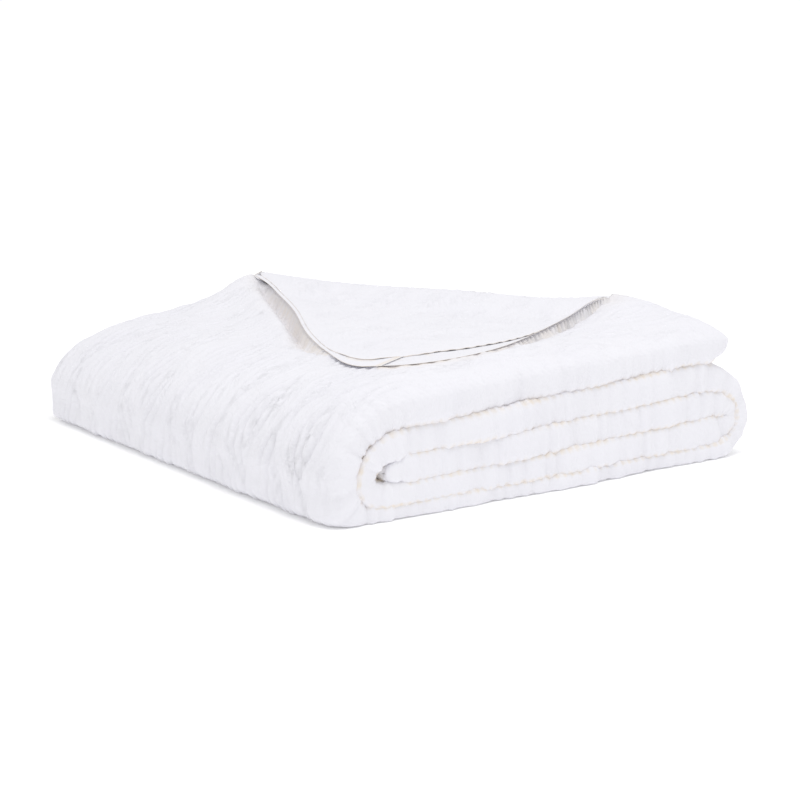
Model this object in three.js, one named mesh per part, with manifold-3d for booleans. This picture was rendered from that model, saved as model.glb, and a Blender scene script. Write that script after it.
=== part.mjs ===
// A folded coverlet: one quilted cotton cloth, folded in four along its length, then wound into five layers.
// The two upper plies of its rear right corner are turned back over the top in a large loose flap.
// Millimetres, +Z up. X runs along the layered front, Y from front to back, and Z is up from the surface.
import * as THREE from "three";
import { mergeVertices } from "three/addons/utils/BufferGeometryUtils.js";
import Module from "manifold-3d";

const wasm = await Module();
wasm.setup();

// Size of the folded stack. The tables below count X and Y from its front left corner.
const WIDTH = 502;
const DEPTH = 530;

// The five layers in the order in which the strip is wound, from its inner end to its outer one.
// x and z give the middle of the layer at its two ends, thick its thickness there, on the front.
const LAYERS = [
  { name: "core", x: [88, 456], z: [46, 57], thick: [23, 24], steps: 15 },
  { name: "second", x: [456, 68], z: [29.5, 23], thick: [25, 16.5], steps: 15 },
  { name: "third", x: [86, 444], z: [71, 84.5], thick: [19, 27], steps: 15 },
  { name: "bottom", x: [456, 42], z: [6.6, 6.6], thick: [13.2, 13.2], steps: 15 },
  { name: "top", x: [118, 456], z: [110, 119.5], thick: [44, 38], steps: 17 },
];

// The turns between one layer and the next. leave and arrive are how far each end reaches before it bends,
// and press is the extra cloth that is pushed out and flat where a turn meets the surface below.
const TURNS = [
  { name: "inner right", leave: 33, arrive: 33, thick: 11.5, press: 0, steps: 7 },
  { name: "inner left", leave: 36, arrive: 51, thick: 12.5, press: 0, steps: 9 },
  { name: "outer right", leave: 61, arrive: 69, thick: 10, press: 0, steps: 10 },
  { name: "outer left", leave: 24, arrive: 137, thick: 36, press: 14, steps: 14 },
];
const PRESS_AT = 0.22;
const PRESS_REACH = 0.1;

// The stack is highest at its front folds and lower at the back, where the hems lie. It is lowest at its two
// rear corners, and the turned corner holds the right end up a little. All are shares of the height.
const FRONT_CROWN = { drop: 0.035, reach: 110 };
const BACK_DROP = 0.09;
const REAR_CORNERS = [
  { x: 0, reach: 165, drop: 0.16 },
  { x: WIDTH, reach: 170, drop: 0.13 },
];
const HELD_UP = { x: 478, y: 140, reach: 80, rise: 0.1 };

// The edges of each layer: a puffed fold in front, two hems and a fold at the back.
const FOLD_PUFF = 0.52;
const FRONT_STEPS = 9;
const FACE_STEPS = 9;
const INNER_STEPS = 5;
const EDGE_WAVE = 3.5;
const FACE_WAVE = 1.6;
const FACE_WAVE_FROM = 3.2;
const FACE_WAVE_RISE = 0.3;
const PLY_SLOT = 16;

// Each end of the strip is rounded off over this length, in these shares of it.
const END_ROUND = 21;
const END_SHARES = [0.4, 0.7, 0.9, 0.985];

// The turned corner. Each row is a place along its crest, with the point of the flap's edge across from it,
// and how far that edge is lifted off the cloth below.
const FLAP_ROWS = [
  { crest: [258, 521, 134], edge: [244, 515], lift: 12 },
  { crest: [268, 466, 135], edge: [226, 446], lift: 12 },
  { crest: [288, 402, 136], edge: [186, 345], lift: 10 },
  { crest: [321, 342, 137], edge: [140, 250], lift: 7 },
  { crest: [354, 292, 138], edge: [109, 172], lift: 3.5 },
  { crest: [378, 248, 138], edge: [94, 104], lift: 1 },
  { crest: [398, 214, 138], edge: [128, 62], lift: 0 },
  { crest: [416, 192, 139], edge: [178, 53], lift: 0 },
  { crest: [430, 178, 140], edge: [246, 64], lift: 1.5 },
  { crest: [440, 170, 141], edge: [338, 100], lift: 8 },
  { crest: [449, 165, 141], edge: [400, 132], lift: 11 },
  { crest: [456, 160, 141], edge: [449, 156], lift: 12 },
];
const FLAP_STEPS = 34;
const FLAP_THICK = 7;
const FLAP_LIFT = 1.8;
const FLAP_ROOT = 19;
const CURL_CUT = 5;
const FLAP_SETTLE = 70;
const HEM_SETBACK = 12;
const CURL_STEPS = 7;
const SPREAD_SHARES = [0.06, 0.16, 0.3, 0.45, 0.6, 0.75, 0.88, 1];

const mix = (a, b, share) => a + (b - a) * share;
const smooth = (share) => THREE.MathUtils.smoothstep(share, 0, 1);

// The strip's middle line in the X-Z plane, as stations with their place, outward side, thickness and layer.
function stripStations() {
  const stations = [];
  LAYERS.forEach((layer, index) => {
    const start = new THREE.Vector2(layer.x[0], layer.z[0]);
    const end = new THREE.Vector2(layer.x[1], layer.z[1]);
    const line = new THREE.LineCurve(start, end);
    for (let i = 0; i < layer.steps; i++) {
      const share = i / layer.steps;
      stations.push(station(line, share, mix(...layer.thick, share), index));
    }
    const turn = TURNS[index];
    if (!turn) {
      stations.push(station(line, 1, layer.thick[1], index));
      return;
    }
    const next = LAYERS[index + 1];
    const along = Math.sign(layer.x[1] - layer.x[0]);
    const landing = new THREE.Vector2(next.x[0], next.z[0]);
    const bend = new THREE.CubicBezierCurve(
      end,
      new THREE.Vector2(end.x + along * turn.leave, end.y),
      new THREE.Vector2(landing.x + along * turn.arrive, landing.y),
      landing,
    );
    for (let i = 0; i < turn.steps; i++) {
      const share = i / turn.steps;
      const nearest = share < 0.5 ? layer.thick[1] : next.thick[0];
      const thick = mix(nearest, turn.thick, smooth(1 - Math.abs(2 * share - 1)));
      const press = turn.press * Math.exp(-(((share - PRESS_AT) / PRESS_REACH) ** 2));
      stations.push({ ...station(bend, share, thick, index + share), press });
    }
  });
  return stations;
}

// One station. The outward side is to the left of the way of winding, so the cloth's right side faces out.
function station(curve, share, thick, layer) {
  const place = curve.getPoint(share);
  const way = curve.getTangent(share);
  return { place, way, out: new THREE.Vector2(-way.y, way.x), thick, layer, press: 0, squeeze: 0 };
}

// The strip's two ends, rounded off: stations past the first and last one, each thinner than the one before.
function roundedEnd(last, along) {
  return END_SHARES.map((share) => ({
    ...last,
    place: last.place.clone().addScaledVector(last.way, along * END_ROUND * share),
    thick: last.thick * Math.sqrt(1 - share * share),
    squeeze: 1 - Math.sqrt(1 - share * share),
  }));
}

// How far the fold in front stands out of line at one place along the strip, uneven from layer to layer.
function frontWave(travel, layer) {
  return EDGE_WAVE * (0.6 * Math.sin(travel / 61 + 2 * layer) + 0.4 * Math.sin(travel / 27 + layer));
}

function backWave(travel, layer) {
  return EDGE_WAVE * (0.7 * Math.sin(travel / 83 + 3 * layer) + 0.5 * Math.sin(travel / 37));
}

// The closed section across the strip at one station, as [across, outward] points.
function sectionPoints(at, travel) {
  const half = at.thick / 2;
  const room = at.out.y < 0 ? at.place.y / -at.out.y : Infinity;
  const outer = Math.min(half + at.press, room);
  const puff = FOLD_PUFF * at.thick + 3;
  const front = frontWave(travel, at.layer) + EDGE_WAVE + at.squeeze * 12;
  const back = DEPTH - EDGE_WAVE * 1.2 + backWave(travel, at.layer) - at.squeeze * 10;
  const open = 1 - at.squeeze;
  const slot = PLY_SLOT * open;
  const points = [];
  for (let i = 0; i <= FRONT_STEPS; i++) {
    const turn = -Math.PI / 2 + (Math.PI * i) / FRONT_STEPS;
    points.push([front + puff * (1 - Math.cos(turn)), (turn > 0 ? outer : half) * Math.sin(turn)]);
  }
  for (let i = 1; i < FACE_STEPS; i++) {
    const across = mix(front + puff, back - slot, i / FACE_STEPS);
    points.push([across, outer + open * faceWave(across, travel, at)]);
  }
  // From the outer face: hem, slot, hem, slot, folded edge.
  for (const [inset, height] of [
    [slot * 0.9, 1],
    [4 * open, 0.93],
    [0.5 * open, 0.76],
    [4 * open, 0.58],
    [slot, 0.52],
    [5 * open, 0.46],
    [2 * open, 0.28],
    [5 * open, 0.1],
    [slot, 0.03],
    [4 * open, -0.08],
    [0, -0.45],
    [5 * open, -0.88],
    [slot * 0.9, -1],
  ]) {
    points.push([back - inset, (height > 0 ? outer : half) * height]);
  }
  for (let i = 1; i < INNER_STEPS; i++) {
    points.push([mix(back - slot, front + puff, i / INNER_STEPS), -half]);
  }
  return points;
}

// Low swells in the outward face where it is on the outside of the stack, past the layer that it rests on.
function faceWave(across, travel, at) {
  const shown = smooth((at.layer - FACE_WAVE_FROM) / FACE_WAVE_RISE);
  return shown * FACE_WAVE * Math.sin(across / 47 + travel / 71) * Math.cos(across / 90 - travel / 52);
}

// The height of any point is scaled by this, so that the stack sinks in places and no layer crosses another.
function sink(x, y) {
  const back = THREE.MathUtils.clamp(y / DEPTH, 0, 1);
  const near = (from, at, reach) => Math.exp(-(((from - at) / reach) ** 2));
  let drop = BACK_DROP * back + FRONT_CROWN.drop * smooth(y / FRONT_CROWN.reach);
  for (const corner of REAR_CORNERS) drop += corner.drop * back * near(x, corner.x, corner.reach);
  return 1 - drop + HELD_UP.rise * near(x, HELD_UP.x, HELD_UP.reach) * near(y, HELD_UP.y, HELD_UP.reach);
}

// The faces that close a ring: a fan round its middle, or strips across a bent and thin one.
function fanFaces(base, size, hub) {
  const faces = [];
  for (let i = 0; i < size; i++) faces.push([hub, base + i, base + ((i + 1) % size)]);
  return faces;
}

function stripFaces(base, size) {
  const faces = [];
  for (let i = 0; i < size / 2 - 1; i++) {
    const [near, next] = [base + i, base + i + 1];
    const [across, beyond] = [base + size - 1 - i, base + size - 2 - i];
    faces.push([near, next, across], [next, beyond, across]);
  }
  return faces;
}

// A closed surface through rings of points, each ring the same length.
function loft(rings, thin = false) {
  const size = rings[0].length;
  const points = rings.flat();
  const faces = [];
  for (let r = 0; r + 1 < rings.length; r++) {
    for (let i = 0; i < size; i++) {
      const j = (i + 1) % size;
      const near = r * size;
      const far = near + size;
      faces.push(near + i, near + j, far + j, near + i, far + j, far + i);
    }
  }
  for (const [base, reversed] of [
    [0, true],
    [(rings.length - 1) * size, false],
  ]) {
    const middle = new THREE.Vector3();
    for (let i = 0; i < size; i++) middle.addScaledVector(points[base + i], 1 / size);
    const cap = thin ? stripFaces(base, size) : fanFaces(base, size, points.push(middle) - 1);
    for (const [a, b, c] of cap) faces.push(a, reversed ? c : b, reversed ? b : c);
  }
  const geometry = new THREE.BufferGeometry().setFromPoints(points);
  geometry.setIndex(faces);
  return geometry;
}

function solidOf(geometry) {
  const bare = geometry.clone();
  bare.deleteAttribute("normal");
  bare.deleteAttribute("uv");
  const merged = mergeVertices(bare, 1e-3);
  return new wasm.Manifold(
    new wasm.Mesh({
      numProp: 3,
      vertProperties: new Float32Array(merged.attributes.position.array),
      triVerts: new Uint32Array(merged.index.array),
    }),
  );
}

function geometryOf(solid) {
  const mesh = solid.getMesh();
  const geometry = new THREE.BufferGeometry();
  geometry.setAttribute("position", new THREE.BufferAttribute(mesh.vertProperties, 3));
  geometry.setIndex(new THREE.BufferAttribute(mesh.triVerts, 1));
  return geometry;
}

// The wound strip: the section of each station, set across the strip's middle line.
function windingGeometry() {
  const line = stripStations();
  const stations = [
    ...roundedEnd(line[0], -1).reverse(),
    ...line,
    ...roundedEnd(line[line.length - 1], 1),
  ];
  let travel = 0;
  const rings = stations.map((at, index) => {
    if (index) travel += at.place.distanceTo(stations[index - 1].place);
    return sectionPoints(at, travel).map(([across, outward]) => {
      const x = at.place.x + at.out.x * outward;
      const z = at.place.y + at.out.y * outward;
      return new THREE.Vector3(x, across, z * sink(x, across));
    });
  });
  return loft(rings);
}

// The height of the top layer's upper face, and of its middle, where its two upper plies begin.
function topHeight(x, y) {
  const top = LAYERS[4];
  const share = THREE.MathUtils.clamp((x - top.x[0]) / (top.x[1] - top.x[0]), 0, 1);
  const shoulder = 24 * Math.max(0, 1 - x / top.x[0]) ** 1.6;
  return (mix(...top.z, share) + mix(...top.thick, share) / 2 - shoulder) * sink(x, y);
}

function topMiddle(x, y) {
  const top = LAYERS[4];
  const share = THREE.MathUtils.clamp((x - top.x[0]) / (top.x[1] - top.x[0]), 0, 1);
  return mix(...top.z, share) * sink(x, y);
}

// What the two upper plies leave free behind the crest: all that is above the top layer's middle there.
function cornerGeometry() {
  const crest = FLAP_ROWS.map((row) => [row.crest[0] - CURL_CUT, row.crest[1] - CURL_CUT]);
  const [first, last] = [crest[0], crest[crest.length - 1]];
  const outline = [
    [first[0] - 9, DEPTH + 20],
    ...crest,
    [WIDTH + 20, last[1] - 34],
    [WIDTH + 20, DEPTH + 20],
  ];
  const shape = new THREE.Shape(outline.map(([x, y]) => new THREE.Vector2(x, y)));
  const geometry = new THREE.ExtrudeGeometry(shape, { depth: 100, bevelEnabled: false });
  const front = topMiddle(WIDTH - 60, last[1]);
  const back = topMiddle(WIDTH - 60, DEPTH);
  const slope = (back - front) / (DEPTH - last[1]);
  const position = geometry.attributes.position;
  for (let i = 0; i < position.count; i++) {
    position.setZ(i, position.getZ(i) + front + slope * (position.getY(i) - last[1]));
  }
  return geometry;
}

// The turned corner: under the crest, round the curl and out to the flap's edge, one ring for each step.
function flapGeometry() {
  const crestLine = new THREE.CatmullRomCurve3(
    FLAP_ROWS.map((row) => new THREE.Vector3(...row.crest)),
  );
  const edgeLine = new THREE.CatmullRomCurve3(
    FLAP_ROWS.map((row) => new THREE.Vector3(...row.edge, row.lift)),
  );
  const half = FLAP_THICK / 2;
  const rings = [];
  for (let i = 0; i <= FLAP_STEPS; i++) {
    const crest = crestLine.getPoint(i / FLAP_STEPS);
    const edge = edgeLine.getPoint(i / FLAP_STEPS);
    const lift = edge.z;
    const reach = Math.hypot(edge.x - crest.x, edge.y - crest.y);
    const way = new THREE.Vector2(edge.x - crest.x, edge.y - crest.y).divideScalar(reach);
    const low = topMiddle(crest.x, crest.y) + half;
    const high = crest.z - half;
    const radius = (high - low) / 2;
    const middle = [
      { along: FLAP_ROOT, z: low, lean: [0, -1] },
      { along: 4, z: low, lean: [0, -1] },
    ];
    for (let k = 1; k < CURL_STEPS; k++) {
      const turn = (Math.PI * k) / CURL_STEPS;
      const lean = [-Math.sin(turn), -Math.cos(turn)];
      middle.push({ along: radius * lean[0], z: low + radius * (1 + lean[1]), lean });
    }
    for (const share of SPREAD_SHARES) {
      const along = reach * share;
      const x = crest.x + way.x * along;
      const y = crest.y + way.y * along;
      const resting = topHeight(x, y) + FLAP_LIFT + half + lift * smooth(share);
      middle.push({ along, z: mix(high, resting, smooth(along / FLAP_SETTLE)), lean: [0, 1] });
    }
    const setback = Math.min(HEM_SETBACK, reach * 0.4);
    const put = (along, z) =>
      new THREE.Vector3(crest.x + way.x * along, crest.y + way.y * along, z);
    const last = middle.pop();
    const hem = last.along - setback;
    const below = (m) => put(m.along - m.lean[0] * half, m.z - m.lean[1] * half);
    const above = (m) => put(Math.min(m.along, hem - 1) + m.lean[0] * half, m.z + m.lean[1] * half);
    rings.push([
      ...middle.map(below),
      below(last),
      put(last.along, last.z - 0.6),
      put(hem, last.z),
      put(hem - 0.5, last.z + half),
      ...middle.reverse().map(above),
    ]);
  }
  return loft(rings, true);
}

// A ring's order follows the way of its loft; a solid that comes out inside out is turned round.
function facingOut(geometry) {
  const solid = solidOf(geometry);
  if (solid.volume() > 0) return solid;
  const faces = geometry.index.array;
  for (let i = 0; i < faces.length; i += 3) [faces[i + 1], faces[i + 2]] = [faces[i + 2], faces[i + 1]];
  return solidOf(geometry);
}

const cloth = new THREE.MeshStandardMaterial({ color: 0xf1f0ee, roughness: 0.92, metalness: 0 });

function coverletMesh() {
  const stack = facingOut(windingGeometry()).subtract(facingOut(cornerGeometry()));
  const whole = stack.add(facingOut(flapGeometry()));
  const mesh = new THREE.Mesh(geometryOf(whole), cloth);
  mesh.name = "coverlet";
  const box = new THREE.Box3().setFromObject(mesh);
  const middle = box.getCenter(new THREE.Vector3());
  mesh.position.set(-middle.x, -middle.y, -box.min.z);
  return mesh;
}

const coverlet = new THREE.Group();
coverlet.add(coverletMesh());

export default coverlet;
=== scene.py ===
"""A folded white coverlet of crinkled, quilted cotton, built as one thin sheet on the folds of its solid."""
import math

import bpy
import numpy as np
from mathutils import Matrix, Vector


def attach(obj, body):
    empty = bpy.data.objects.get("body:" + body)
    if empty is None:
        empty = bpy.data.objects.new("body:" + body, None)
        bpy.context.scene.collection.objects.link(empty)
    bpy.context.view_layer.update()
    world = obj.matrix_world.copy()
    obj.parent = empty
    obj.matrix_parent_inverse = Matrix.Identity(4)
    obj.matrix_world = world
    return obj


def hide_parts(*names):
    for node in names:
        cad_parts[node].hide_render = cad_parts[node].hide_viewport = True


bl_info = {
    "name": "Folded coverlet",
    "version": (1, 0, 0),
    "blender": (4, 5, 0),
    "location": "3D View > Sidebar > Coverlet",
    "description": "Builds a folded, quilted cotton coverlet and a plain studio round it",
    "category": "Add Mesh",
}

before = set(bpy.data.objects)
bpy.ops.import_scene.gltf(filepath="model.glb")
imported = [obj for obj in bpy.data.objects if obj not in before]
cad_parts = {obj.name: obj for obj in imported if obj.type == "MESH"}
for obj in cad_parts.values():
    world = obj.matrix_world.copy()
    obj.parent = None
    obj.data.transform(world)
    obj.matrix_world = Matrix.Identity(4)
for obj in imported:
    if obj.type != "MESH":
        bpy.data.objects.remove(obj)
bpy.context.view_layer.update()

# Sizes of the folded stack, in metres. X and Y count from its front left corner, as on the solid.
CORNER = np.array([-0.25211, -0.26512])
DEPTH = 0.530
WIDTH = 0.502

# The five layers of the wound strip, from its inner end to its outer one: the core, the second, the third,
# the bottom and the top one. Each has where its middle line starts and ends across the front, its height
# there and its thickness there.
LAYERS = (
    ((0.088, 0.456), (0.046, 0.057), (0.023, 0.024)),
    ((0.456, 0.068), (0.0295, 0.023), (0.025, 0.0165)),
    ((0.086, 0.444), (0.071, 0.0845), (0.019, 0.027)),
    ((0.456, 0.042), (0.0066, 0.0066), (0.0132, 0.0132)),
    ((0.118, 0.456), (0.110, 0.1195), (0.044, 0.038)),
)
# The turns between them, inner right, inner left, outer right and outer left: how far each end reaches
# before it bends, the thickness halfway, and the extra cloth pushed out where a turn meets what is below.
TURNS = (
    (0.033, 0.033, 0.0115, 0.0),
    (0.036, 0.051, 0.0125, 0.0),
    (0.061, 0.069, 0.010, 0.0),
    (0.024, 0.137, 0.036, 0.014),
)
PRESS_AT, PRESS_REACH = 0.22, 0.1
# How finely the strip's middle line is drawn: points in its rounded ends, its layers and its turns.
END_POINTS, LAYER_POINTS, TURN_POINTS = 24, 90, 80
END_ROUND = 0.021
CORE_BLUNT = 2.8
CORE_REACH = 0.002
CORE_FILL = 0.022
TOP_END = LAYERS[-1][0][1] + END_ROUND * 0.86
HEM_LINE = DEPTH - 0.006

# The cloth's parts that lie outermost in the stack, and those of the ply next to them.
OUTER_PARTS = ("ply 1", "edge 1", "hem 1")
SECOND_PARTS = ("ply 2", "edge 2", "hem 2")
# Where the inner parts start across the cloth, in depths of the stack.
PART_START = {"ply 4": 1.08, "back fold": 2.1, "ply 3": 2.15, "inner loop": 3.17, "ply 2": 3.18,
              "edge 2": 4.18, "hem 2": 4.19}
PLY_DEPTH = DEPTH - 0.03
EDGE_ROWS, LOOP_ROWS, BACK_ROWS = 6, 17, 8
# How much of the top layer's start keeps coarse points in the plies below its outer one.
BEFORE_CORNER = 0.12
# The cloth that goes round a hem's edge, how much shorter the second ply is, how far the inner plies stop
# short of the loops in front, how far from the middle they lie as a share of half the thickness, and the
# share of the relief that they keep.
HEM_ALLOWANCE = 0.004
SECOND_SHORT = 0.004
LOOP_CLEAR = 0.004
INNER_PLY = 0.04
INNER_RELIEF = 0.4

# How the stack sinks: shares of the height.
FRONT_CROWN = (0.035, 0.110)
LEFT_SHOULDER = (0.024, 1.6)
BACK_DROP = 0.09
REAR_CORNERS = ((0.0, 0.165, 0.16), (WIDTH, 0.170, 0.13))
HELD_UP = (0.478, 0.140, 0.080, 0.1)

# The turned corner, row by row along its crest: the crest's point, the point of the edge across from it,
# and how far that edge is lifted off the cloth below.
FLAP_ROWS = (
    ((0.258, 0.521, 0.134), (0.244, 0.515), 0.017),
    ((0.268, 0.466, 0.135), (0.226, 0.446), 0.012),
    ((0.288, 0.402, 0.136), (0.186, 0.345), 0.010),
    ((0.321, 0.342, 0.137), (0.140, 0.250), 0.007),
    ((0.354, 0.292, 0.138), (0.112, 0.172), 0.0035),
    ((0.378, 0.248, 0.138), (0.100, 0.106), 0.001),
    ((0.398, 0.214, 0.138), (0.131, 0.065), 0.0),
    ((0.416, 0.192, 0.139), (0.178, 0.053), 0.0),
    ((0.430, 0.178, 0.140), (0.246, 0.064), 0.0015),
    ((0.440, 0.170, 0.141), (0.338, 0.100), 0.009),
    ((0.449, 0.165, 0.141), (0.400, 0.132), 0.012),
    ((0.456, 0.160, 0.141), (0.449, 0.156), 0.012),
)
# The row whose edge point is the cloth's own corner.
FLAP_TIP_ROW = 5.35
FLAP_THICK = 0.007
FLAP_EDGE_THICK = 0.0015
FLAP_EDGE_ROUND = 0.0004
FLAP_LIFT = 0.0006
FLAP_SETTLE = 0.070
FLAP_START = 0.08
CURL_DIP = 0.038
CURL_CLEAR = 0.0006
# The most that the second ply's hem is set back, as a share of a row's reach, and how the corner's border on
# the flat cloth keeps up with its rows, along the hem and along the strip's end.
SETBACK_LIMIT = 0.55
BORDER_EASE = (0.8, 1.15)
END_ROLL = END_ROUND * 0.14
# Layers from this number on carry the turned corner.
ON_TOP = 3.98

# Beside the flap's edge, by row: the height of the soft ridge in the cloth below, how far off it lies, the
# depth of the hollow at the edge, how strong the warm painted shade in the hollow is (it also sets the height
# of its crumples there), and how far the second ply's hem is set back.
BESIDE_EDGE = (
    (0.0200, 0.000, 0.000, 0.10, 0.0010),
    (0.0120, 0.022, 0.006, 0.28, 0.0010),
    (0.0075, 0.030, 0.011, 0.38, 0.0010),
    (0.0030, 0.024, 0.008, 0.50, 0.0012),
    (0.0005, 0.018, 0.001, 0.20, 0.0020),
    (0.0000, 0.015, 0.000, 0.10, 0.0200),
    (0.0000, 0.015, 0.000, 0.10, 0.0700),
    (0.0000, 0.015, 0.000, 0.20, 0.0740),
    (0.0000, 0.015, 0.001, 0.40, 0.0660),
    (0.0005, 0.015, 0.005, 0.60, 0.0500),
    (0.0015, 0.015, 0.006, 0.60, 0.0320),
    (0.0020, 0.015, 0.003, 0.20, 0.0060),
)
# How far below the crest the curl begins, by row.
CURL_HEIGHT = ((0.0, 0.012), (1.0, 0.020), (2.5, 0.028), (4.0, 0.060))
# A soft hump where the turned corner's right end runs out: its middle, reach and height, and where it ends.
END_HUMP = (0.462, 0.118, 0.052, 0.0065)
HUMP_END = (0.460, 0.016)
# Small crumples in the hollow: their height and spacing.
CRUMPLE, CRUMPLE_SPACING = 0.0080, 0.0075

# The folds in front: how deep the round of a pressed fold and of an open edge is, and how full each is.
FOLD_DEPTH = (0.27, 0.003)
OPEN_DEPTH = 0.056
FOLD_FULL = (2.4, 3.6)
OPEN_FULL = (2.1, 1.9)
# For points spread evenly over each: the share of its depth that they cover, and its depth over its height.
FOLD_EVEN = (1.0, 0.75)
OPEN_EVEN = (0.25, 2.8)
GAP_LARGEST = (0.040, 0.070)
GAP_FILL = (0.0066, 0.0270)
GAP_OVERLAP = 0.0030
BEAD_SPACING, BEAD_DEPTH = 0.0092, 0.0011
BULGE_FADE = 0.05
CREASE_REACH = 0.0019
# How fast the upright crinkles of a pressed fold and of an open edge give way to the quilting.
FACING_FADE = (0.8, 2.4)
# Layers, and shares of the turn after them, from which the edge is open and the outer ply shows, and how soon.
OPEN_FROM, OPEN_SOON = 3.1, 0.25
SHOWN_FROM, SHOWN_SOON = 3.2, 0.3
# The lump of cloth inside the inner left turn: which layer, its reach, its height, and how far it fills the
# hollow behind.
LUMP = (1.46, 0.26, 0.0072, 0.018)
# The relief is calmer low on the left face, and deeper near its front: layer, reach, reach in depth, extra.
LOW_RELIEF = 0.5
DENTED = (3.55, 0.22, 0.14, 0.9)
TOP_RELIEF = 0.75
SWELL_START = 0.05
# How far below the turned corner's edge the cloth under it lies, and how far it rises between two stitches.
UNDER_FLAP = 0.0003
STITCH_RISE, STITCH_SPACING = 0.0012, 0.0130
# The lowest that any point lies over the floor.
FLOOR_CLEARANCE = 0.0002

# The studio: where the lamp, the point that it lights and the camera are, and the sizes of lamp and floor.
LAMP_AT, LAMP_AIM = Vector((-0.1, -0.6, 2.45)), Vector((0.0, 0.0, 0.05))
CAMERA_AT = Vector((-1.4831, -2.1172, 0.6438))
SENSOR_WIDTH = 36.0
LAMP_SIZE = 1.6
FLOOR_REACH = 30.0
# How strongly the backdrop glows, and the distances over which it brightens.
BACKDROP_GLOW = 0.22
GLOW_FROM, GLOW_TO = 0.45, 1.2
WHITE = (1.0, 1.0, 1.0, 1.0)


def smooth(share):
    share = np.clip(share, 0.0, 1.0)
    return share * share * (3.0 - 2.0 * share)


def mix(a, b, share):
    return a + (b - a) * share


def bell(distance, reach):
    return np.exp(-((distance / reach) ** 2))


# Value noise on a plane, the same on every run.
def lattice(ix, iy, seed):
    n = (ix * 374761393 + iy * 668265263 + seed * 982451653) & 0x7FFFFFFF
    n = ((n ^ (n >> 13)) * 1274126177) & 0x7FFFFFFF
    return ((n ^ (n >> 16)) & 0xFFFF) / 32767.5 - 1.0


def noise(x, y, seed):
    ix, iy = np.floor(x).astype(np.int64), np.floor(y).astype(np.int64)
    fx, fy = smooth(x - ix), smooth(y - iy)
    low = mix(lattice(ix, iy, seed), lattice(ix + 1, iy, seed), fx)
    high = mix(lattice(ix, iy + 1, seed), lattice(ix + 1, iy + 1, seed), fx)
    return mix(low, high, fy)


class Strip:
    """The middle line of the wound strip, as columns by length along it."""

    def __init__(self):
        columns = {name: [] for name in ("x", "z", "thick", "press", "squeeze", "layer")}

        def add(*values):
            for column, value in zip(columns.values(), values):
                column.extend(np.broadcast_to(value, values[0].shape))

        def way_along(lx, lz):
            way = np.array([lx[1] - lx[0], lz[1] - lz[0]])
            return way / np.hypot(*way)

        ends = np.sin(np.linspace(0.0, math.pi / 2, END_POINTS))
        start = ends[:0:-1]
        lx, lz, lt = LAYERS[0]
        way = way_along(lx, lz)
        shrink = np.maximum(1.0 - start**CORE_BLUNT, 1e-5) ** 0.45
        reach = END_ROUND + CORE_REACH
        add(lx[0] - way[0] * reach * start, lz[0] - way[1] * reach * start,
            lt[0] * shrink, 0.0, 1.0 - shrink, 0.0)
        for index, (lx, lz, lt) in enumerate(LAYERS):
            share = np.linspace(0.0, 1.0, LAYER_POINTS)
            add(mix(*lx, share), mix(*lz, share), mix(*lt, share), 0.0, 0.0, float(index))
            if index == len(TURNS):
                break
            leave, arrive, middle, press_out = TURNS[index]
            nx, nz, nt = LAYERS[index + 1]
            along = math.copysign(1.0, lx[1] - lx[0])
            u = np.linspace(0.0, 1.0, TURN_POINTS)[1:-1]
            weights = ((1 - u) ** 3, 3 * u * (1 - u) ** 2, 3 * u * u * (1 - u), u**3)
            bx = (lx[1], lx[1] + along * leave, nx[0] + along * arrive, nx[0])
            bz = (lz[1], lz[1], nz[0], nz[0])
            nearest = np.where(u < 0.5, lt[1], nt[0])
            add(sum(w * p for w, p in zip(weights, bx)), sum(w * p for w, p in zip(weights, bz)),
                mix(nearest, middle, smooth(1 - np.abs(2 * u - 1))),
                press_out * bell(u - PRESS_AT, PRESS_REACH), 0.0, index + u)
        lx, lz, lt = LAYERS[-1]
        way = way_along(lx, lz)
        finish = ends[1:]
        shrink = np.sqrt(np.maximum(1.0 - finish * finish, 1e-4))
        add(lx[1] + way[0] * END_ROUND * finish, lz[1] + way[1] * END_ROUND * finish,
            lt[1] * shrink, 0.0, 1.0 - shrink, float(len(LAYERS) - 1))
        for name, column in columns.items():
            setattr(self, name, np.array(column))
        self.s = np.concatenate([[0.0], np.cumsum(np.hypot(np.diff(self.x), np.diff(self.z)))])
        way_x, way_z = np.gradient(self.x, self.s), np.gradient(self.z, self.s)
        size = np.hypot(way_x, way_z)
        self.out_x, self.out_z = -way_z / size, way_x / size

    def at(self, s, column):
        return np.interp(s, self.s, getattr(self, column))

    def start_of(self, layer):
        """The length at which the strip reaches a layer, or a share of the turn after it."""
        return float(np.interp(layer, self.layer + self.s * 1e-6, self.s))


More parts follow.
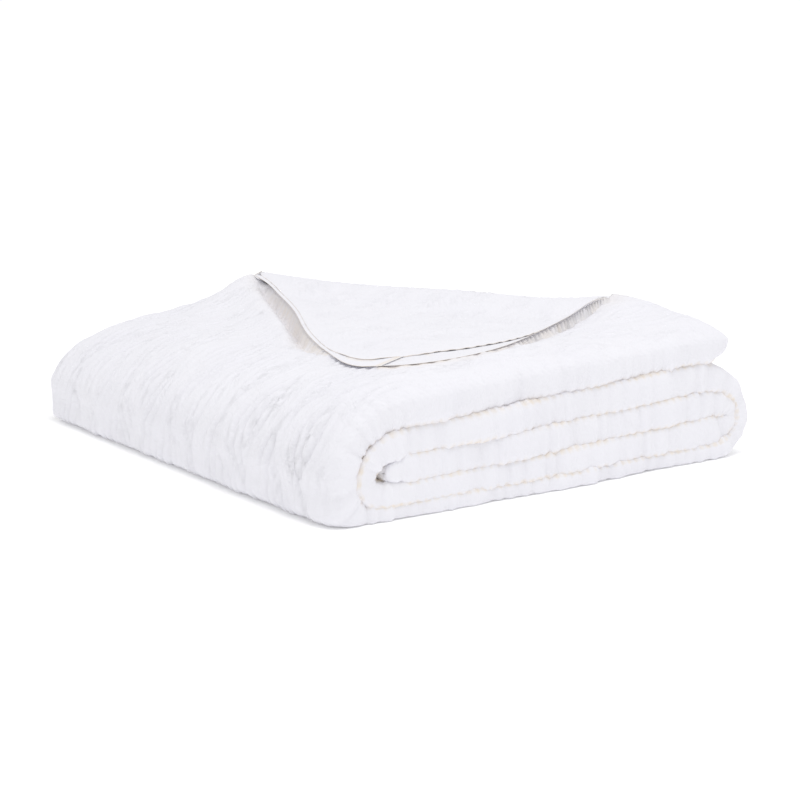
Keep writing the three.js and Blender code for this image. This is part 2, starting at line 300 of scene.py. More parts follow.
def gap_filling(strip):
    """How far the folds in front bulge, so that pressed layers meet in a thin line: lengths along the strip,
    then for the outer and the inner side the bulge and how closely the layers meet."""
    s = np.linspace(END_ROUND, strip.s[-1] - END_ROUND, 1200)
    x, z, ox, oz, thick, press, layer = (
        strip.at(s, column) for column in ("x", "z", "out_x", "out_z", "thick", "press", "layer"))
    middle, out = np.stack([x, z], 1), np.stack([ox, oz], 1)
    faces = {1: middle + out * (thick / 2 + press)[:, None], -1: middle - out * (thick / 2)[:, None]}
    start = np.vstack([faces[1][:-1], faces[-1][:-1]])
    run = np.vstack([np.diff(faces[1], axis=0), np.diff(faces[-1], axis=0)])
    bulge, meets = {}, {}
    for side, face in faces.items():
        ray = side * out
        gap_x = start[None, :, 0] - (face[:, None, 0] + ray[:, None, 0] * 1e-4)
        gap_z = start[None, :, 1] - (face[:, None, 1] + ray[:, None, 1] * 1e-4)
        cross = ray[:, None, 0] * run[None, :, 1] - ray[:, None, 1] * run[None, :, 0]
        cross = np.where(np.abs(cross) < 1e-12, 1e-12, cross)
        away = (gap_x * run[None, :, 1] - gap_z * run[None, :, 0]) / cross
        along = (gap_x * ray[:, None, 1] - gap_z * ray[:, None, 0]) / cross
        hit = (away > 0) & (along >= 0) & (along <= 1)
        gap = np.min(np.where(hit, away, 1.0), 1)
        outside = smooth((layer - 1.9) / 0.35)
        most, largest = mix(*GAP_FILL, outside), mix(*GAP_LARGEST, outside)
        fill = np.where(gap < largest, np.minimum(gap / 2 + GAP_OVERLAP, most), 0.0)
        meets[side] = np.interp(gap, (0.0, 0.012, 0.024), (1.0, 0.6, 0.1))
        if side < 0:
            fill = np.maximum(fill, LUMP[2] * bell(layer - LUMP[0], LUMP[1]))
        bulge[side] = np.convolve(np.pad(fill, 4, "edge"), np.full(9, 1 / 9), "valid")
    return s, [(bulge[side], meets[side]) for side in (1, -1)]


def fold_profile(share, full):
    """Height of a rounded fold, as a share, at a share of its depth from its foremost line."""
    share = np.clip(share, 0.0, 1.0)
    return (1.0 - (1.0 - share) ** full[0]) ** (1.0 / full[1])


def even_share(value, full, reach, slim):
    """Shares of a fold's depth, for points spread evenly from its foremost line, 0, to the reach, 1."""
    share = reach * np.linspace(0.0, 1.0, 600) ** 3
    run = np.hypot(np.diff(share) * slim, np.diff(fold_profile(share, full)))
    length = np.concatenate([[0.0], np.cumsum(run)])
    return np.interp(value * length[-1], length, share) / reach


def sink(x, y):
    """The share of its height that a point keeps."""
    back = np.clip(y / DEPTH, 0.0, 1.0)
    drop = BACK_DROP * back + FRONT_CROWN[0] * smooth(y / FRONT_CROWN[1])
    for corner, reach, low in REAR_CORNERS:
        drop = drop + low * back * bell(x - corner, reach)
    hx, hy, reach, rise = HELD_UP
    return 1.0 - drop + rise * bell(x - hx, reach) * bell(y - hy, reach)


def top_middle(x, y):
    """Height of the middle of the top layer."""
    lx, lz, _ = LAYERS[-1]
    return mix(*lz, np.clip((x - lx[0]) / (lx[1] - lx[0]), 0.0, 1.0)) * sink(x, y)


def top_height(x, y):
    """Height of the upper face of the top layer."""
    lx, lz, lt = LAYERS[-1]
    share = np.clip((x - lx[0]) / (lx[1] - lx[0]), 0.0, 1.0)
    shoulder = LEFT_SHOULDER[0] * np.maximum(0.0, 1.0 - x / lx[0]) ** LEFT_SHOULDER[1]
    return (mix(*lz, share) + mix(*lt, share) / 2 - shoulder) * sink(x, y)


class Flap:
    """The turned corner: lines from its crest out to its edge, and the same lines on the flat cloth."""

    COUNT = 500

    def __init__(self, hem_y, end_x):
        rows = np.array([[*crest, *edge, lift] for crest, edge, lift in FLAP_ROWS])
        w = np.linspace(0.0, len(rows) - 1.0, self.COUNT)
        first = np.clip(w.astype(int), 0, len(rows) - 2)
        f = (w - first)[:, None]
        a, b, c, d = (rows[np.clip(first + k, 0, len(rows) - 1)] for k in (-1, 0, 1, 2))
        curve = (2 * a - 5 * b + 4 * c - d) * f**2 + (3 * b - a - 3 * c + d) * f**3
        line = 0.5 * (2 * b + (c - a) * f + curve)
        self.crest, self.lift = line[:, :3], np.maximum(line[:, 5], 0.0)
        span = line[:, 3:5] - self.crest[:, :2]
        self.reach = np.hypot(span[:, 0], span[:, 1])
        self.way = span / self.reach[:, None]
        along_hem = np.clip(w / FLAP_TIP_ROW, 0.0, 1.0)
        along_end = np.clip((w - FLAP_TIP_ROW) / (len(rows) - 1 - FLAP_TIP_ROW), 0.0, 1.0)
        self.border = np.stack([
            mix(self.crest[0, 0] + 0.004, end_x, along_hem ** BORDER_EASE[0]),
            mix(hem_y, self.crest[-1, 1] - 0.002, along_end ** BORDER_EASE[1]),
        ], 1)
        self.outline = np.vstack([
            [self.crest[0, 0] - 0.002, hem_y + 0.05], self.crest[:, :2],
            [end_x + 0.05, self.crest[-1, 1] - 0.012], [end_x + 0.05, hem_y + 0.05],
        ])

    def beyond(self, x, y):
        """True for each point of the flat cloth that lies behind the crest."""
        inside = np.zeros(x.shape, bool)
        x0, y0 = self.outline[-1]
        for x1, y1 in self.outline:
            if y0 != y1:
                crosses = (y0 > y) != (y1 > y)
                inside ^= crosses & (x < (x1 - x0) * (y - y0) / (y1 - y0) + x0)
            x0, y0 = x1, y1
        return inside

    def ruling(self, x, y, way):
        """Which ruling each point lies on, as an index with a fraction, and how far along it."""
        index, along = np.zeros(x.shape), np.zeros(x.shape)
        for start in range(0, len(x), 4000):
            part = slice(start, start + 4000)
            px = x[part, None] - self.crest[None, :, 0]
            py = y[part, None] - self.crest[None, :, 1]
            side = way[None, :, 0] * py - way[None, :, 1] * px
            change = (side[:, :-1] > 0) != (side[:, 1:] > 0)
            ahead = way[None, :-1, 0] * px[:, :-1] + way[None, :-1, 1] * py[:, :-1] > -0.01
            pick = np.argmax(change & ahead, 1)
            none = ~np.any(change & ahead, 1)
            rows = np.arange(len(pick))
            low, high = side[rows, pick], side[rows, pick + 1]
            f = np.clip(low / np.where(np.abs(low - high) < 1e-12, 1.0, low - high), 0.0, 1.0)
            nearest = np.argmin(np.abs(side) + 10.0 * (np.hypot(px, py) > 0.6), 1)
            index[part] = np.where(none, nearest, pick + f)
        c = self.column(self.crest, index)
        v = self.column(way, index)
        size = np.maximum(np.hypot(v[:, 0], v[:, 1]), 1e-6)
        along = ((x - c[:, 0]) * v[:, 0] + (y - c[:, 1]) * v[:, 1]) / size
        return index, along, along / size

    def column(self, values, index):
        low = np.clip(index.astype(int), 0, self.COUNT - 2)
        f = index - low
        if values.ndim > 1:
            f = f[:, None]
        return mix(values[low], values[low + 1], f)

    def row(self, index):
        return index / (self.COUNT - 1) * (len(FLAP_ROWS) - 1)

    def beside(self, index):
        """The columns of the table of what lies beside the flap's edge."""
        table = np.array(BESIDE_EDGE)
        return [np.interp(self.row(index), np.arange(len(table)), column) for column in table.T]

    def curl_base(self, index):
        """The height at which the curl leaves the cloth below."""
        crest = self.column(self.crest, index)
        rows, heights = zip(*CURL_HEIGHT)
        below = np.interp(self.row(index), rows, heights)
        return np.maximum(top_middle(crest[:, 0], crest[:, 1]) + CURL_CLEAR, crest[:, 2] - below)

    def place(self, index, share, inner):
        """Points on the turned corner at a share of its length: place, way out, lengths to crest and edge,
        and crest."""
        crest = self.column(self.crest, index)
        way = self.column(self.way, index)
        way = way / np.hypot(way[:, 0], way[:, 1])[:, None]
        reach = self.column(self.reach, index)
        lift = self.column(self.lift, index)
        base = self.curl_base(index)
        high = crest[:, 2]
        radius = (high - base) / 2
        if inner:
            radius = radius - FLAP_THICK / 2
            length = reach
            base = base + FLAP_THICK
        else:
            length = reach - np.minimum(self.beside(index)[4], reach * SETBACK_LIMIT)
        round_length = math.pi * radius
        arc = share * (round_length + length) * mix(0.02, 1.0, smooth(self.row(index) / FLAP_START))
        turn = np.clip(arc / round_length, 0.0, 1.0) * math.pi
        along = np.where(arc < round_length, -radius * np.sin(turn), arc - round_length)
        curl_z = base + radius * (1.0 - np.cos(turn))
        x = crest[:, 0] + way[:, 0] * along
        y = crest[:, 1] + way[:, 1] * along
        out = np.maximum(along, 0.0)
        out_share = out / np.maximum(reach, 1e-4)
        rest = top_height(x, y) + FLAP_LIFT + FLAP_THICK + lift * smooth(out_share)
        top = mix(high, rest, smooth(out / FLAP_SETTLE))
        thick = mix(FLAP_THICK, FLAP_EDGE_THICK, smooth(out_share * 1.1))
        flat_z = top - (thick if inner else 0.0) - (FLAP_THICK - FLAP_EDGE_THICK) * smooth(out / FLAP_SETTLE)
        z = np.where(arc < round_length, curl_z, flat_z)
        return np.stack([x, y, z], 1), way, arc, round_length + length - arc, crest


def cloth_rows(sizes):
    """Rows across the cloth, from one hem to the other: each row's part of the cloth and place in it."""
    fine, medium, coarse = sizes.fine_step, sizes.medium_step, sizes.coarse_step
    spans = (
        ("hem 1", 0.0, 1.0, EDGE_ROWS),
        ("edge 1", 1.0, 0.0, EDGE_ROWS),
        ("ply 1", 0.0, 1.0, round(PLY_DEPTH / fine)),
        ("loop", 1.0, -1.0, LOOP_ROWS),
        ("ply 4", 0.0, 1.0, round(PLY_DEPTH / coarse)),
        ("back fold", -1.0, 1.0, BACK_ROWS),
        ("ply 3", 0.0, 1.0, round(PLY_DEPTH / (medium * 1.6))),
        ("inner loop", 0.0, 1.0, 3),
        ("ply 2", 0.0, 1.0, round(PLY_DEPTH / medium)),
        ("edge 2", 0.0, 1.0, EDGE_ROWS),
        ("hem 2", 1.0, 0.0, EDGE_ROWS),
    )
    rows = [(part, float(value)) for part, start, stop, count in spans
            for value in np.linspace(start, stop, count)[:-1]]
    return [*rows, ("hem 2", 0.0)]


def columns_for(strip, part, sizes):
    """The lengths along the strip at which a row has its points, close together where the cloth shows."""
    fine, medium, coarse = sizes.fine_step, sizes.medium_step, sizes.coarse_step
    total = strip.s[-1]
    corner_start = strip.start_of(3.999) + BEFORE_CORNER
    turn_start, turn_end, bottom_end = (strip.start_of(layer) for layer in (2.02, 2.9, 3.15))
    if part == "loop":
        stretches = ((0.0, total, fine * 1.05),)
    elif part in OUTER_PARTS:
        stretches = (
            (0.0, turn_start, coarse * 1.2),
            (turn_start, turn_end, fine * 1.3),
            (turn_end, bottom_end, coarse),
            (bottom_end, total, fine),
        )
    elif part in SECOND_PARTS:
        stretches = ((0.0, corner_start, coarse * 1.4), (corner_start, total, medium))
    elif part in ("ply 3", "inner loop"):
        stretches = ((0.0, corner_start, coarse * 1.4), (corner_start, total, medium * 1.5))
    else:
        stretches = ((0.0, total, coarse * 0.6),)
    values = []
    for start, stop, step in stretches:
        count = max(2, round((stop - start) / step) + 1)
        values.extend(np.linspace(start, stop, count)[:-1])
    margin = END_ROUND * 1.04
    values = [v for v in values if margin < v < total - margin]
    ends = END_ROUND * (1.0 - np.sin(np.linspace(0.0, math.pi / 2, 9)))
    return np.array([*ends[::-1], *values, *(total - ends)])


def stitches(x, y):
    """1 between two stitches of the corner's hem, 0 at each of them."""
    return smooth(0.5 + np.cos(2 * math.pi * (x + 0.4 * y) / STITCH_SPACING))


class Cloth:
    """The sheet's points, row by row: place, cloth coordinates, painted crease shade, calm, and share facing
    forward.
    """

    def __init__(self, sizes):
        self.sizes, self.strip = sizes, Strip()
        rows = cloth_rows(sizes)
        columns = {part: columns_for(self.strip, part, sizes) for part in {row[0] for row in rows}}
        self.s = np.concatenate([columns[part] for part, _ in rows])
        self.counts = [len(columns[part]) for part, _ in rows]
        self.part = np.repeat([row[0] for row in rows], self.counts)
        self.value = np.repeat([row[1] for row in rows], self.counts)
        self.layer = self.strip.at(self.s, "layer")
        self.first, self.second = np.isin(self.part, OUTER_PARTS), np.isin(self.part, SECOND_PARTS)
        self.crease_shade, self.facing = np.zeros_like(self.s), np.zeros_like(self.s)
        self.wind()
        self.turn_corner()
        self.settle_beside()
        self.place[:, :2] += CORNER

    def pressed_folds(self):
        """How far the folds in front bulge outward and inward, and how much painted shade lies along the line
        where they meet, on each side.
        """
        s, layer = self.s, self.layer
        gap_s, sides = gap_filling(self.strip)
        phase = 2 * math.pi * s / BEAD_SPACING
        bead = BEAD_DEPTH * (0.5 + 0.5 * np.cos(phase + 1.5 * noise(s / 0.03, layer, 11)))
        patchy = np.clip(0.45 + 0.45 * noise(s / 0.022, layer, 15) + 0.35 * np.cos(phase), 0, 1)
        bulges, gap_shades = [], []
        for bulge, meets in sides:
            bulge = np.interp(s, gap_s, bulge, 0.0, 0.0)
            pressed = smooth(bulge / 0.0004)
            bulges.append(bulge - bead * pressed)
            gap_shades.append(pressed * np.interp(s, gap_s, meets) * patchy)
        return *bulges, *gap_shades

    def wind(self):
        """Lays the four plies along the wound strip, with the front loops, the back fold and the hems."""
        strip, sizes, crease_shade, facing = self.strip, self.sizes, self.crease_shade, self.facing
        s, part, value, layer = self.s, self.part, self.value, self.layer
        thick, press, squeeze, mx, mz, ox, oz = (
            strip.at(s, column) for column in ("thick", "press", "squeeze", "x", "z", "out_x", "out_z"))
        size = np.hypot(ox, oz)
        ox, oz = ox / size, oz / size
        half, open_share = thick / 2, 1.0 - squeeze
        room = np.where(oz < -1e-3, mz / np.maximum(-oz, 1e-3), 1.0)
        outer = np.minimum(half + press, room)
        puff = FOLD_DEPTH[0] * thick + FOLD_DEPTH[1]
        open_edge = smooth((layer - OPEN_FROM) / OPEN_SOON)
        bulge_out, bulge_in, gap_shade_out, gap_shade_in = self.pressed_folds()

        # The lines of the front folds and of the hems at the back, a little out of true.
        wave = sizes.edge_wave
        front = wave * (1.0 + 0.6 * np.sin(mx / 0.061 + mz / 0.045) + 0.4 * np.sin(mx / 0.027 + mz / 0.02))
        front = front + squeeze * np.where(layer < 1.0, 0.003, 0.010)
        back = DEPTH - wave * 1.2 - squeeze * 0.010
        back = back + wave * (0.7 * np.sin(s / 0.083 + 3 * layer) + 0.5 * np.sin(s / 0.037))
        hem_round = np.clip(0.19 * half, 0.0012, 0.0026) * np.maximum(open_share, 0.15)
        fold_front, fold_back = front + puff, back - half * 0.5

        # Each point's depth in the stack, height over the strip's middle line, and place across the cloth.
        y, o, t, edge_out, edge_up = np.zeros((5, len(s)))

        def turn_in(name, side, edge_start, hem_start):
            m = part == f"edge {name}"
            turn = value[m] * math.pi
            edge_out[m] = hem_round[m] * np.sin(turn)
            edge_up[m] = side * hem_round[m] * (1.0 - np.cos(turn))
            t[m] = edge_start + side * value[m] * HEM_ALLOWANCE
            m = part == f"hem {name}"
            edge_out[m] = -(1.0 - value[m]) * sizes.hem_width
            edge_up[m] = side * 2.0 * hem_round[m]
            t[m] = hem_start + side * (1.0 - value[m]) * sizes.hem_width

        # The outer ply and its hem.
        m = self.first
        y[m], o[m] = back[m] - hem_round[m], outer[m]
        turn_in("1", -1.0, 0.0, -HEM_ALLOWANCE)
        m = part == "ply 1"
        y[m] = mix(y[m], fold_front[m], value[m])
        t[m] = value[m] * DEPTH
        # The loops in front.
        m = part == "loop"
        fold = even_share(np.abs(value[m]), FOLD_FULL, *FOLD_EVEN)
        above = open_edge[m] * np.where(value[m] > 0, 1.0, 0.0)
        y[m] = front[m] + puff[m] * mix(fold, even_share(np.abs(value[m]), OPEN_FULL, *OPEN_EVEN), above)
        t[m] = DEPTH + (1.0 - value[m]) * half[m] * 1.2
        m = (part == "ply 1") | ((part == "loop") & (value > 0))
        fading = 1.0 - smooth((y[m] - front[m] - puff[m]) / BULGE_FADE)
        share = (y[m] - front[m]) / mix(puff, OPEN_DEPTH, open_edge)[m]
        height = mix(fold_profile(share, FOLD_FULL), fold_profile(share, OPEN_FULL), open_edge[m])
        o[m] = (outer[m] + bulge_out[m] * fading) * height
        facing[m] = 1.0 - smooth(share * mix(*FACING_FADE, open_edge[m]))
        # Painted shade along the thin lines where the pressed folds meet, where shade falls between them.
        crease_shade[m] = gap_shade_out[m] * smooth(1.0 + (o[m] - outer[m] - bulge_out[m] + GAP_OVERLAP) / CREASE_REACH)
        m = (part == "loop") & (value <= 0)
        share = (y[m] - front[m]) / puff[m]
        facing[m] = 1.0
        o[m] = -(half[m] + bulge_in[m]) * fold_profile(share, FOLD_FULL)
        crease_shade[m] = gap_shade_in[m] * smooth(1.0 + (-o[m] - half[m] - bulge_in[m] + GAP_OVERLAP) / CREASE_REACH)
        # Painted shade deep in the hole beside the lump of cloth.
        hollow_shade = 0.7 * bell(layer[m] - LUMP[0], LUMP[1]) * smooth((share - 0.35) / 0.5)
        crease_shade[m] = np.maximum(crease_shade[m], hollow_shade)
        # The inner plies.
        m = part == "ply 4"
        y[m] = mix(fold_front[m], fold_back[m], value[m])
        behind = y[m] - front[m] - puff[m]
        o[m] = -half[m] - bulge_in[m] * (1.0 - smooth(behind / BULGE_FADE))
        filled = smooth(behind / 0.02) * (1.0 - smooth(behind / 0.12))
        o[m] -= LUMP[3] * bell(layer[m] - LUMP[0], LUMP[1]) * filled
        t[m] = DEPTH * (PART_START["ply 4"] + value[m])
        # Painted shade over the inner ply inside the stack, less at the strip's squeezed ends and none near
        # its outer end.
        crease_shade[m] = open_share[m] * smooth((strip.s[-1] - s[m] - END_ROUND) / 0.05)
        m = part == "back fold"
        turn = value[m] * math.pi / 2
        y[m] = back[m] - half[m] * 0.5 * (1.0 - np.cos(turn))
        o[m] = -half[m] * 0.52 + half[m] * 0.48 * np.sin(turn)
        t[m] = DEPTH * PART_START["back fold"] + (1.0 + value[m]) * 0.01
        m = part == "ply 3"
        y[m] = mix(fold_back[m], fold_front[m] + LOOP_CLEAR, value[m])
        o[m], t[m] = -half[m] * INNER_PLY, DEPTH * (PART_START["ply 3"] + value[m])
        m = part == "inner loop"
        y[m] = fold_front[m] + 0.003
        o[m], t[m] = half[m] * INNER_PLY * (2 * value[m] - 1), DEPTH * PART_START["inner loop"]
        # The second ply and its hem.
        m = self.second
        y[m], o[m] = back[m] - SECOND_SHORT - hem_round[m], half[m] * INNER_PLY
        turn_in("2", 1.0, DEPTH * PART_START["edge 2"], DEPTH * PART_START["hem 2"])
        m = part == "ply 2"
        y[m] = mix(fold_front[m] + LOOP_CLEAR, y[m], value[m])
        t[m] = DEPTH * (PART_START["ply 2"] + value[m])

        # Low swells where the outer ply is on the outside of the stack.
        shown = smooth((layer - SHOWN_FROM) / SHOWN_SOON) * open_share * np.where(self.first, 1.0, 0.0)
        swell = shown * smooth((y - front - puff) / SWELL_START) * sizes.face_wave
        o = o + swell * np.sin(y / 0.047 + s / 0.071) * np.cos(y / 0.090 - s / 0.052)
        core_end = squeeze * np.where(layer < 1.0, 1.0, 0.0)
        x = mx + ox * (o + edge_up) - CORE_FILL * core_end * smooth((y - front - 0.002) / 0.012)
        z = mz + oz * (o + edge_up)
        z = z * sink(x, y + edge_out)
        self.place, self.pattern = np.stack([x, y + edge_out, z], 1), np.stack([s, t], 1)

        # Where each point lies on the flat cloth of the top layer.
        self.flat_x, self.flat_y = np.minimum(mx, TOP_END), np.minimum(y, HEM_LINE)
        self.on_top = (layer > ON_TOP) & (self.first | self.second)
        self.flap = Flap(HEM_LINE, TOP_END)
        self.turned = np.zeros_like(self.on_top)
        self.turned[self.on_top] = self.flap.beyond(self.flat_x[self.on_top], self.flat_y[self.on_top])

        # How much of the relief each point keeps: little where another ply lies close on it.
        from_hem = np.minimum(np.where(self.first | self.second, back - y, 1.0), strip.s[-1] - s)
        covered = np.where(self.second & ~self.turned, 0.2, 1.0)
        calm = smooth((strip.s[-1] - s) / 0.03) * covered * smooth(from_hem / 0.006)
        calm = calm * mix(1.0, TOP_RELIEF, smooth((layer - 3.8) / 0.2))
        dented = 1.0 + DENTED[3] * shown * bell(layer - DENTED[0], DENTED[1]) * bell(y + edge_out, DENTED[2])
        self.calm = calm * mix(1.0, LOW_RELIEF, smooth((0.055 - z) / 0.03) * shown) * dented

    def turn_corner(self):
        """Turns the corner of both upper plies over their crest, with their hems."""
        flap = self.flap
        for ply, inner in ((self.first, True), (self.second, False)):
            chosen = self.turned & ply
            part, value, s = self.part[chosen], self.value[chosen], self.s[chosen]
            index, _, share = flap.ruling(
                self.flat_x[chosen], self.flat_y[chosen], flap.border - flap.crest[:, :2])
            where, way, arc, left, crest = flap.place(index, np.clip(share, 0.0, 1.0), inner)
            row, setback = flap.row(index), flap.beside(index)[4]
            is_edge, is_hem = np.char.startswith(part, "edge"), np.char.startswith(part, "hem")
            roll = np.clip((s - self.strip.s[-1] + END_ROLL) / END_ROLL, 0.0, 1.0) * math.pi
            across = np.where(is_hem, math.pi, np.where(is_edge, value * math.pi, 0.0))
            turn = np.maximum(roll, across)
            hem = np.maximum(self.sizes.hem_width, setback + 0.008) if inner else self.sizes.hem_width
            run_out = smooth(row / 0.5) * smooth((len(FLAP_ROWS) - 1 - row) / 0.5)
            hem = np.minimum(hem, flap.column(flap.reach, index) * 0.5) * run_out
            out = FLAP_EDGE_ROUND * np.sin(turn) - np.where(is_hem, (1.0 - value) * hem, 0.0)
            where[:, :2] += way * out[:, None]
            where[:, 2] += (1.0 if inner else -1.0) * FLAP_EDGE_ROUND * (1.0 - np.cos(turn))
            line = crest[:, :2] + way * arc[:, None]
            self.pattern[chosen] = np.stack([self.strip.start_of(4.0) + line[:, 0], 0.6 + line[:, 1]], 1)
            # Painted shade: a warm line along the rolled edges of the hems and of the strip's end, and on the
            # inner ply where the second ply's hem ends on it.
            at_edge = np.where(is_edge, np.sin(value * math.pi) ** 0.5, 0.0)
            at_end = np.sin(roll) ** 0.5 * np.where(roll < 3.1, 1.0, 0.0)
            painted_shade = 0.8 * np.maximum(at_edge, at_end)
            if inner:
                self.calm[chosen] *= 0.2
                painted_shade = np.maximum(painted_shade, 0.7 * bell(left - setback, 0.002) * smooth(setback / 0.02))
            else:
                curl_calm = mix(0.12, 1.0, smooth((arc - 0.02) / 0.05))
                self.calm[chosen] *= smooth((left - 0.010) / 0.035) * curl_calm
                where[:, 2] -= STITCH_RISE * 0.5 * stitches(where[:, 0], where[:, 1]) * bell(left, 0.006)
            self.place[chosen], self.crease_shade[chosen] = where, painted_shade

    def settle_beside(self):
        """Shapes the cloth in front of the crest: a ridge and a hollow beside the turned corner's edge, then
        up to its underside, and down again where the curl begins."""
        flap, place = self.flap, self.place
        for ply, clear in ((self.first, FLAP_THICK), (self.second, 0.0)):
            near = self.on_top & ply & ~self.turned
            px, py = self.flat_x[near], self.flat_y[near]
            index, along, _ = flap.ruling(px, py, flap.way)
            crest, way, reach, lift = (
                flap.column(column, index) for column in (flap.crest, flap.way, flap.reach, flap.lift))
            aside = np.abs(way[:, 0] * (py - crest[:, 1]) - way[:, 1] * (px - crest[:, 0]))
            close = bell(aside, 0.02) * (along > -0.012)
            heights = place[near, 2]
            if clear:
                ridge, off, hollow, shade_and_crumple, _ = flap.beside(index)
                past = along - reach
                width = np.where(past > off, 0.013 + 2.0 * ridge, 0.012)
                ridge = ridge * bell(past - off, width)
                heights = heights + close * (ridge - hollow * bell(past - 0.006, 0.017))
                hx, hy, hump_reach, hump = END_HUMP
                run_out = 1.0 - smooth((px - HUMP_END[0]) / HUMP_END[1])
                heights = heights + hump * bell(px - hx, hump_reach) * bell(py - hy, hump_reach) * run_out
                crumple = noise(px / CRUMPLE_SPACING, py / CRUMPLE_SPACING, 16) * CRUMPLE
                crumple = crumple * smooth(reach / 0.09)
                heights = heights + close * shade_and_crumple * crumple * bell(past - 0.010, 0.022)
                under = top_height(px, py) + FLAP_LIFT + lift * smooth(along / reach) - UNDER_FLAP
                under = under + STITCH_RISE * stitches(px, py) * bell(past + 0.001, 0.006)
                covered = close * smooth((0.009 - past) / 0.016)
                heights = mix(heights, np.maximum(heights - self.sizes.face_wave, under), covered)
                self.calm[near] *= 1.0 - 0.9 * covered
                # Painted shade: a warm, mottled shade in the hollow beside the flap's edge, and a thin line of
                # it just under the edge.
                mottled = 0.75 + 0.5 * noise(px / CRUMPLE_SPACING, py / CRUMPLE_SPACING * 1.4, 17)
                edge_shade = 0.7 * bell(past - 0.0005, 0.002) * smooth(reach / 0.08)
                painted_shade = np.maximum(shade_and_crumple * mottled * bell(past - 0.003, 0.019), edge_shade)
                self.crease_shade[near] = np.maximum(self.crease_shade[near], close * painted_shade)
            low = flap.curl_base(index) + clear
            dip = 1.0 - smooth(along / np.minimum(CURL_DIP, reach * 0.7))
            place[near, 2] = mix(heights, low, close * dip)


def zip_rows(counts, s):
    """Faces between each row and the next: quads where both rows have the same points, or else triangles."""
    starts = np.concatenate([[0], np.cumsum(counts)])
    faces = []
    for r in range(len(counts) - 1):
        a, b, na, nb = int(starts[r]), int(starts[r + 1]), counts[r], counts[r + 1]
        if na == nb and np.allclose(s[a:a + na], s[b:b + nb]):
            i = np.arange(na - 1)
            faces.extend(np.stack([a + i, b + i, b + i + 1, a + i + 1], 1).tolist())
            continue
        i = j = 0
        while i < na - 1 or j < nb - 1:
            if j == nb - 1 or (i < na - 1 and s[a + i + 1] <= s[b + j + 1]):
                faces.append([a + i, b + j, a + i + 1])
                i += 1
            else:
                faces.append([a + i, b + j, b + j + 1])
                j += 1
    return faces


def quilt_relief(u, v, sizes):
    """Height of the quilted, crinkled face at cloth coordinates, in metres."""
    pitch, length = sizes.leaf_pitch, sizes.leaf_length
    bent = v + 0.005 * noise(u / 0.045, v / 0.050, 8) + 0.0016 * noise(u / 0.012, v / 0.016, 9)
    sway = 0.17 * pitch * np.sin(2 * math.pi * (u / length + 0.5 * np.floor(bent / pitch)))
    lines = np.cos(2 * math.pi * (bent + sway) / sizes.line_gap)
    grouped = 0.5 + 0.5 * np.cos(2 * math.pi * ((bent + sway) / pitch + 0.5 * noise(u / 0.05, v / 0.09, 10)))
    grouped = mix(0.25, 1.0, smooth(grouped * (1.0 + 0.5 * noise(u / 0.03, v / 0.03, 14))))
    crinkle = noise(u / 0.0072, v / 0.0100, 6)
    dents = noise(u / 0.034, v / 0.026, 7)
    return sizes.relief * (0.85 * lines * grouped + 0.24 * crinkle + 0.3 * dents)


def front_crinkle(u, v, sizes):
    """Height of the small upright crinkles in the folds in front."""
    upright = noise(u / 0.0062, v / 0.030, 12) + 0.5 * noise(u / 0.017, v / 0.020, 13)
    return sizes.relief * 0.8 * upright


def new_mesh(name, points, faces):
    mesh = bpy.data.meshes.new(name)
    mesh.from_pydata(np.asarray(points).tolist(), [], faces)
    mesh.polygons.foreach_set("use_smooth", [True] * len(mesh.polygons))
    mesh.update()
    obj = bpy.data.objects.new(name, mesh)
    bpy.context.collection.objects.link(obj)
    return obj


class Sock:
    """A node socket that can be used in sums, so that shader maths reads as plain expressions."""

    def __init__(self, tree, socket):
        self.tree, self.socket = tree, socket

    def math(self, operation, *others):
        return self.tree.node("ShaderNodeMath", {"operation": operation}, dict(enumerate((self, *others))))

    def __add__(self, other):
        return self.math("ADD", other)

    def __sub__(self, other):
        return self.math("SUBTRACT", other)

    def __rsub__(self, other):
        return self.tree.node("ShaderNodeMath", {"operation": "SUBTRACT"}, {0: other, 1: self})

    def __mul__(self, other):
        return self.math("MULTIPLY", other)

    __radd__ = __add__
    __rmul__ = __mul__

    def __pow__(self, other):
        return self.math("POWER", other)


class Tree:
    """A node tree with one method that adds any node."""

    def __init__(self, owner):
        owner.use_nodes = True
        self.tree = owner.node_tree
        self.tree.nodes.clear()

    def node(self, kind, settings=None, inputs=None, output=0):
        node = self.tree.nodes.new(kind)
        for key, value in (settings or {}).items():
            setattr(node, key, value)
        for key, value in (inputs or {}).items():
            if isinstance(value, Sock):
                self.tree.links.new(value.socket, node.inputs[key])
            else:
                node.inputs[key].default_value = value
        return Sock(self, node.outputs[output]) if node.outputs else None

    def mix_colour(self, share, a, b):
        return self.node("ShaderNodeMix", {"data_type": "RGBA"}, {0: share, 6: a, 7: b}, 2)


